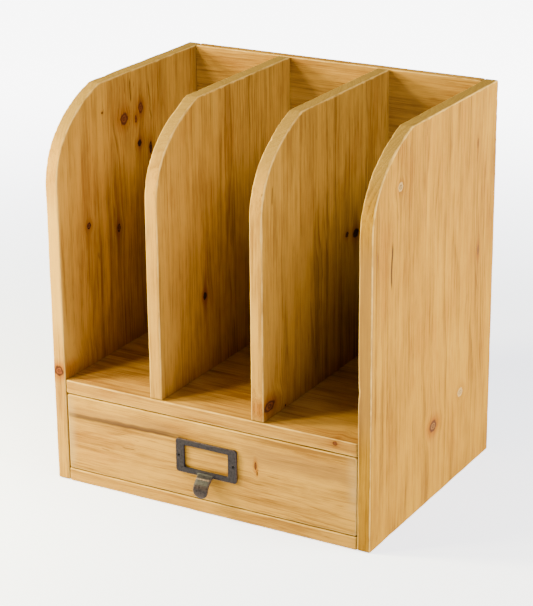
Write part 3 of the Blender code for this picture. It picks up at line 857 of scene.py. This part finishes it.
# Each with the axis across its grain, the slot of its material and its eased edges
LEVELS = {
    "shelf": (Y, "pine_level", front_ease),
    "bottom_board": (Y, "pine_level", front_ease),
    "back_panel": (Z, "pine_back", top_ease),
}
LEVEL_LOOKS = {
    "shelf": {
        "strips": (-0.052, 0.016, 0.070),
        "marks": (Mark((0.1245, FRONT, 0.0938), (0.0026, 0.010, 0.0022), RED_RIM, RED_CORE, 0.4, 0.5),),
    },
    "bottom_board": {"strips": (-0.048, 0.030)},
    "back_panel": {
        "strips": (0.055, 0.118, 0.181, 0.246, 0.301),
        "marks": (
            Mark((0.062, REAR, 0.085), (0.011, 0.030, 0.008), RED_RIM, RED_CORE, 0.3, 0.6),
            Mark((-0.083, REAR, 0.215), (0.008, 0.030, 0.006), BLACK, RED_CORE, 0.3, 0.6),
            Mark((0.104, REAR, 0.270), (0.005, 0.030, 0.0035), BLACK, BLACK, 0.5, 0.5),
        ),
    },
}
LEVEL_EARLY = (0.365, 0.184, 0.0270)
LEVEL_LATE = (0.165, 0.070, 0.0125)

for seed, (node, (across, slot, ease)) in enumerate(LEVELS.items(), start=5):
    low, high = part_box(node)
    plane = (X, across)
    through = 3 - X - across
    board = plank(f"{node}_board", box_corners(node, plane), plane, low[through], high[through], seed, ease)
    cut(board, [dowel_holes(node)])
    material = wood(f"pine_{node}", X, across, seed, LEVEL_EARLY, LEVEL_LATE, **LEVEL_LOOKS[node])
    stand_in(board, node, CARCASS, material)


# ---------------------------------------------------------------- drawer


DRAWER_FRONT_SEED = 8
PITCH_CORE = (0.090, 0.030, 0.010)
FLECK = (0.110, 0.045, 0.016)


def drawer_front():
    """The drawer's front, rebated for its sides and grooved for its bottom."""
    low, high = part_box("drawer_front")
    corners = box_corners("drawer_front", (X, Z))
    board = plank("drawer_front_board", corners, (X, Z), low.y, high.y, DRAWER_FRONT_SEED, show_face_ease)
    cutters = [sockets(named("drawer_brad", "front") + named("label_pin"))]
    for side in ("left", "right"):
        side_low, side_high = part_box(f"drawer_side_{side}")
        start = low.x - OVERCUT if side == "left" else side_low.x - GAP
        stop = side_high.x + GAP if side == "left" else high.x + OVERCUT
        cutters.append(box_cutter((start, side_low.y - GAP, 0), (stop, high.y + 2 * OVERCUT, SHELF_TOP)))
    panel_low, panel_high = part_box("drawer_bottom")
    margin = Vector((GAP, GAP, GAP))
    cutters.append(box_cutter(panel_low - margin, panel_high + margin))
    cut(board, cutters)
    material = wood(
        "pine_drawer_front",
        X,
        Z,
        DRAWER_FRONT_SEED,
        early=(0.378, 0.194, 0.0265),
        late=(0.168, 0.074, 0.0125),
        ring=0.0042,
        contrast=1.15,
        pith=(0.050, 0.090),
        worn_ends=0.1445,
        marks=(
            Mark((0.0484, FRONT, 0.0566), (0.0013, 0.010, 0.0042), (0.060, 0.020, 0.008), PITCH_CORE, 0.2, 0.8),
            Mark((0.0500, FRONT, 0.0515), (0.0008, 0.010, 0.0024), (0.070, 0.024, 0.008), PITCH_CORE, 0.1, 0.6),
        ),
        streaks=(
            Streak((0.0636, -0.1500), (0.0668, -0.0260), 0.0020, 1.0, (0.030, 0.013, 0.008), 0.0010),
            Streak((0.0668, -0.1440), (0.0702, -0.0300), 0.0042, 0.40, (0.185, 0.092, 0.030), 0.0012),
            Streak((0.0440, -0.0870), (0.0437, -0.0740), 0.0006, 0.8, FLECK),
            Streak((0.0385, -0.1090), (0.0375, -0.1010), 0.0005, 0.7, FLECK),
            Streak((0.0640, 0.0400), (0.0620, 0.1420), 0.0070, 0.55, (0.190, 0.092, 0.026), 0.003),
        ),
    )
    stand_in(board, "drawer_front", DRAWER, material)


# ---------------------------------------------------------------- pull

# The finger pull's centre line, as (stand-out from the plate's back, height)
PULL_LINE = (
    (0.0012, 0.0412),
    (0.0026, 0.0384),
    (0.0066, 0.0352),
    (0.0104, 0.0312),
    (0.0122, 0.0265),
    (0.0121, 0.0225),
    (0.0113, 0.0204),
)
PULL_STEPS = 10
PULL_SIDES = 28
PULL_HALF = 0.0076
PULL_ROOT_HALF = 0.0112
PULL_ROOT_LENGTH = 0.0075
PULL_HALF_THICK = 0.00095
PLATE_HEIGHT = 0.0316
PLATE_THICK = 0.0022
PLATE_EASE = 0.00045
PLATE_CORNER = 0.0030
WINDOW = Vector((0.0436, 0.0206))
CARD_MARGIN = 0.003
CARD_DEPTH = 0.0007
CAST_GRAIN = 0.00028
PIN_GAP = 0.0002

# Where the casting is painted bright: a painted highlight along its rim and across the pull's bend, and rubbing
# by fingers and cloths at the pull's tip and sides
RIM_HIGHLIGHT_WIDTH = 0.0004
TIP_TOP = 0.0275
TIP_FADE = 0.006
BEND_HIGHLIGHT_HEIGHT = 0.0305
BEND_HIGHLIGHT_WIDTH = 0.0022


def catmull(points, steps):
    """A smooth line through points."""
    line = []
    ends = [points[0] * 2 - points[1], *points, points[-1] * 2 - points[-2]]
    for a, b, c, d in zip(ends, ends[1:], ends[2:], ends[3:]):
        for k in range(steps):
            t = k / steps
            line.append(
                0.5 * (2 * b + (c - a) * t + (2 * a - 5 * b + 4 * c - d) * t * t + (3 * b - a - 3 * c + d) * t**3)
            )
    return [*line, points[-1]]


def tongue(middle_x, seat_y):
    """The curled finger pull: a strip with rounded edges and a round end."""
    line = catmull([Vector(point) for point in PULL_LINE], PULL_STEPS)
    lengths = [0.0]
    for first, second in zip(line, line[1:]):
        lengths.append(lengths[-1] + (second - first).length)
    whole = lengths[-1]
    mesh_edit = bmesh.new()
    rings = []
    for i, (point, length) in enumerate(zip(line, lengths)):
        ahead = (line[min(i + 1, len(line) - 1)] - line[max(i - 1, 0)]).normalized()
        square = Vector((ahead.y, -ahead.x))
        flare = max(0.0, 1 - length / PULL_ROOT_LENGTH) ** 2
        half = PULL_HALF + (PULL_ROOT_HALF - PULL_HALF) * flare
        left_over = max(whole - length, 0.0)
        if left_over < half:
            half *= math.sqrt(max(0.02, 1 - (1 - left_over / half) ** 2))
        ring = []
        for k in range(PULL_SIDES):
            turn = math.tau * k / PULL_SIDES
            bend = abs(math.cos(turn)) ** 0.45 * math.copysign(1, math.cos(turn))
            lift = abs(math.sin(turn)) ** 0.7 * math.copysign(1, math.sin(turn))
            spot = point + square * (PULL_HALF_THICK * lift)
            ring.append(mesh_edit.verts.new((middle_x + half * bend, seat_y - spot.x, spot.y)))
        rings.append(ring)
    for first, second in zip(rings, rings[1:]):
        for k in range(PULL_SIDES):
            after = (k + 1) % PULL_SIDES
            mesh_edit.faces.new((first[k], second[k], second[after], first[after]))
    mesh_edit.faces.new(rings[0])
    mesh_edit.faces.new(rings[-1])
    bmesh.ops.recalc_face_normals(mesh_edit, faces=mesh_edit.faces)
    return finish_mesh("tongue", mesh_edit)


def wear_and_highlight_at(place, middle, half, front):
    """How rubbed the casting is at a place, from 0 to 1, with painted highlights along the rim and across the
    bend.
    """
    rim = min(half.x - abs(place.x - middle.x), half.y - abs(place.z - middle.y))
    plate_low = middle.y - half.y
    wear_and_highlight = 0.0
    # Painted highlight along the plate's rim
    if place.y < front + CARD_DEPTH and place.z > plate_low - RIM_HIGHLIGHT_WIDTH:
        wear_and_highlight += 0.75 * math.exp(-((rim / RIM_HIGHLIGHT_WIDTH) ** 2))
    wear_and_highlight += 0.24 * max(0.0, min(1.0, (TIP_TOP - place.z) / TIP_FADE))
    if place.y < front - 0.002:
        wear_and_highlight += 0.30 * max(0.0, abs(place.x - middle.x) / PULL_HALF - 0.78) / 0.22
    # Painted highlight across the pull's bend
    if place.y < front - 0.004:
        wear_and_highlight += 0.16 * math.exp(-(((place.z - BEND_HIGHLIGHT_HEIGHT) / BEND_HIGHLIGHT_WIDTH) ** 2))
    return min(1.0, wear_and_highlight)


def cast_pull():
    """The label holder and its finger pull, joined as one casting."""
    low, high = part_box("label_holder_pull")
    plate_high = high.z
    middle = Vector(((low.x + high.x) / 2, plate_high - PLATE_HEIGHT / 2))
    half = Vector(((high.x - low.x) / 2, PLATE_HEIGHT / 2))
    front, back = high.y - PLATE_THICK, high.y
    corners = [
        Vector((middle.x + a * half.x, middle.y + b * half.y)) for a, b in ((-1, -1), (1, -1), (1, 1), (-1, 1))
    ]
    cast = plank(
        "cast_pull", corners, (X, Z), front, back, 21, lambda place, face: PLATE_EASE, corner=PLATE_CORNER
    )
    combine(cast, [tongue(middle.x, back)], "UNION")
    opening = WINDOW / 2
    card = opening + Vector((CARD_MARGIN, CARD_MARGIN))
    window = box_cutter(
        (middle.x - opening.x, front - OVERCUT, middle.y - opening.y),
        (middle.x + opening.x, back + OVERCUT, middle.y + opening.y),
    )
    card_slot = box_cutter(
        (middle.x - card.x, back - CARD_DEPTH, middle.y - card.y),
        (middle.x + card.x, back + OVERCUT, plate_high + OVERCUT),
    )
    cut(cast, [window, card_slot])
    remesh = cast.modifiers.new("remesh", "REMESH")
    remesh.mode = "VOXEL"
    remesh.voxel_size = CAST_GRAIN
    blend = cast.modifiers.new("blend", "SMOOTH")
    blend.factor = 0.5
    blend.iterations = 3
    apply_modifiers(cast)
    cut(cast, [sockets(named("label_pin"), margin=PIN_GAP)])
    # Each vertex gets its wear and its painted highlight
    wear_and_highlight = cast.data.attributes.get("wear_and_highlight") or cast.data.attributes.new("wear_and_highlight", "FLOAT", "POINT")
    for vert, spot in zip(cast.data.vertices, wear_and_highlight.data):
        spot.value = wear_and_highlight_at(vert.co, middle, half, front)
    cast.data.shade_smooth()
    stand_in(cast, "label_holder_pull", DRAWER, bronze("aged_bronze"))


# ---------------------------------------------------------------- the CAD nodes that stay


def give(material, names):
    """Puts a material on CAD nodes."""
    for name in names:
        slots = NODES[name].data.materials
        slots.clear()
        slots.append(material)


DOWEL_EARLY = (0.40, 0.24, 0.09)
DOWEL_LATE = (0.28, 0.15, 0.05)
PIN_DARK = (0.0010, 0.0008, 0.0008)
PIN_LIGHT = (0.0022, 0.0018, 0.0017)

drawer_front()
give(wood("pine_drawer_box", Y, Z, 9, contrast=0.8), ["drawer_side_left", "drawer_side_right"])
give(wood("pine_drawer_back", X, Z, 10, contrast=0.8), ["drawer_back"])
give(plywood("plywood"), ["drawer_bottom"])
give(wood("hardwood_dowel", X, Y, 12, DOWEL_EARLY, DOWEL_LATE, contrast=0.5), named("_dowel_"))
give(steel("brad_steel"), named("_brad_"))
cast_pull()
give(bronze("aged_bronze_pin", PIN_DARK, PIN_LIGHT, gloss=0.02), named("label_pin"))


# ---------------------------------------------------------------- studio


def bearing(turn, rise):
    """The direction of a light, turned from the front towards +X and raised, in degrees."""
    turn, rise = math.radians(turn), math.radians(rise)
    return Vector((math.sin(turn) * math.cos(rise), -math.cos(turn) * math.cos(rise), math.sin(rise)))


WARM = (1.0, 0.94, 0.52)
CREAM = (1.0, 0.98, 0.78)
COOL = (1.0, 1.0, 1.30)
MIDDLE = (0, 0, 0.15)

# Each as aim, (turn, rise), distance, size, power in watts, colour
LIGHTS = {
    "key": (MIDDLE, (-57, 28), 0.88, 0.20, 30, WARM),
    "key_low": ((-0.08, -0.1, 0.05), (-64, 14), 0.60, 0.25, 10, WARM),
    "front": (MIDDLE, (-34, 38), 0.85, 0.14, 11, WARM),
    "slots": (MIDDLE, (46, 42), 1.6, 0.34, 6, COOL),
    "side_low": ((0, 0, 0.0), (98, 3), 0.85, 0.4, 26, WARM),
    "side_high": (MIDDLE, (88, 52), 1.8, 0.9, 56, CREAM),
    "top": (MIDDLE, (0, 88), 1.8, 0.9, 5, COOL),
}
ROOM_LIGHT = (0.85, 0.95, 1.3, 1)
ROOM_STRENGTH = 0.08
FLOOR_SIZE = 16
FLOOR_DROP = 0.0002
PAPER = (0.62, 0.64, 0.77)
PAPER_TOOTH = (0.64, 0.66, 0.79)


def soft_light(name, aim, direction, distance, size, power, colour):
    data = bpy.data.lights.new(name, "AREA")
    data.shape = "DISK"
    data.size = size
    data.energy = power
    data.color = colour
    lamp = bpy.data.objects.new(name, data)
    lamp.rotation_mode = "QUATERNION"
    lamp.rotation_quaternion = direction.to_track_quat("Z", "Y")
    lamp.location = Vector(aim) + direction * distance
    lamp.visible_camera = False
    bpy.context.scene.collection.objects.link(lamp)


def paper(name):
    """Pale paper, glowing softly away from the object so that it doesn't darken into the distance."""
    graph = Graph(name)
    place = graph.add("ShaderNodeTexCoord").outputs["Object"]
    distance = graph.add("ShaderNodeVectorMath", operation="LENGTH")
    graph.feed(distance.inputs[0], place)
    tooth = graph.noise(graph.stretch(place, (700, 700, 700)))
    graph.feed(graph.shader.inputs["Base Color"], graph.mix(tooth, PAPER, PAPER_TOOTH))
    graph.feed(graph.shader.inputs["Roughness"], graph.ramp(tooth, 0.3, 0.7, 0.66, 0.74))
    far = graph.ramp(distance.outputs["Value"], 0.30, 1.5)
    graph.feed(graph.shader.inputs["Emission Color"], graph.mix(far, (0.86, 0.89, 1.0), (1.0, 1.0, 1.0)))
    graph.feed(graph.shader.inputs["Emission Strength"], graph.math("MULTIPLY_ADD", far, 5.5, 2.2))
    return graph.material


def studio():
    """A dim room, soft lights and a paper floor."""
    world = bpy.data.worlds.new("studio")
    world.use_nodes = True
    background = world.node_tree.nodes["Background"]
    background.inputs["Color"].default_value = ROOM_LIGHT
    background.inputs["Strength"].default_value = ROOM_STRENGTH
    bpy.context.scene.world = world
    for name, (aim, (turn, rise), distance, size, power, colour) in LIGHTS.items():
        soft_light(name, aim, bearing(turn, rise), distance, size, power, colour)

    bpy.ops.mesh.primitive_grid_add(
        x_subdivisions=8, y_subdivisions=8, size=FLOOR_SIZE, location=(0, 0, -FLOOR_DROP)
    )
    floor = bpy.context.object
    floor.name = "floor"
    floor.data.materials.append(paper("floor_paper"))


# Fitted to the object's corners in the photo
CAMERA_PLACE = (0.84821, -1.50389, 0.79704)
CAMERA_AIM = (-0.46402, 0.81466, -0.34787)
CAMERA_ROLL = math.radians(-0.49)
CAMERA_LENS = 122.68


def camera():
    """The photo's view of the holder."""
    data = bpy.data.cameras.new("camera")
    data.sensor_width = 36
    data.lens = CAMERA_LENS
    data.clip_start = 0.05
    data.clip_end = 50
    view = bpy.data.objects.new("camera", data)
    forward = Vector(CAMERA_AIM).normalized()
    right = forward.cross(Vector((0, 0, 1))).normalized()
    up = right.cross(forward)
    right, up = (
        right * math.cos(CAMERA_ROLL) + up * math.sin(CAMERA_ROLL),
        up * math.cos(CAMERA_ROLL) - right * math.sin(CAMERA_ROLL),
    )
    turn = Matrix((right, up, -forward)).transposed().to_4x4()
    view.matrix_world = Matrix.Translation(CAMERA_PLACE) @ turn
    bpy.context.scene.collection.objects.link(view)
    bpy.context.scene.camera = view


studio()
camera()
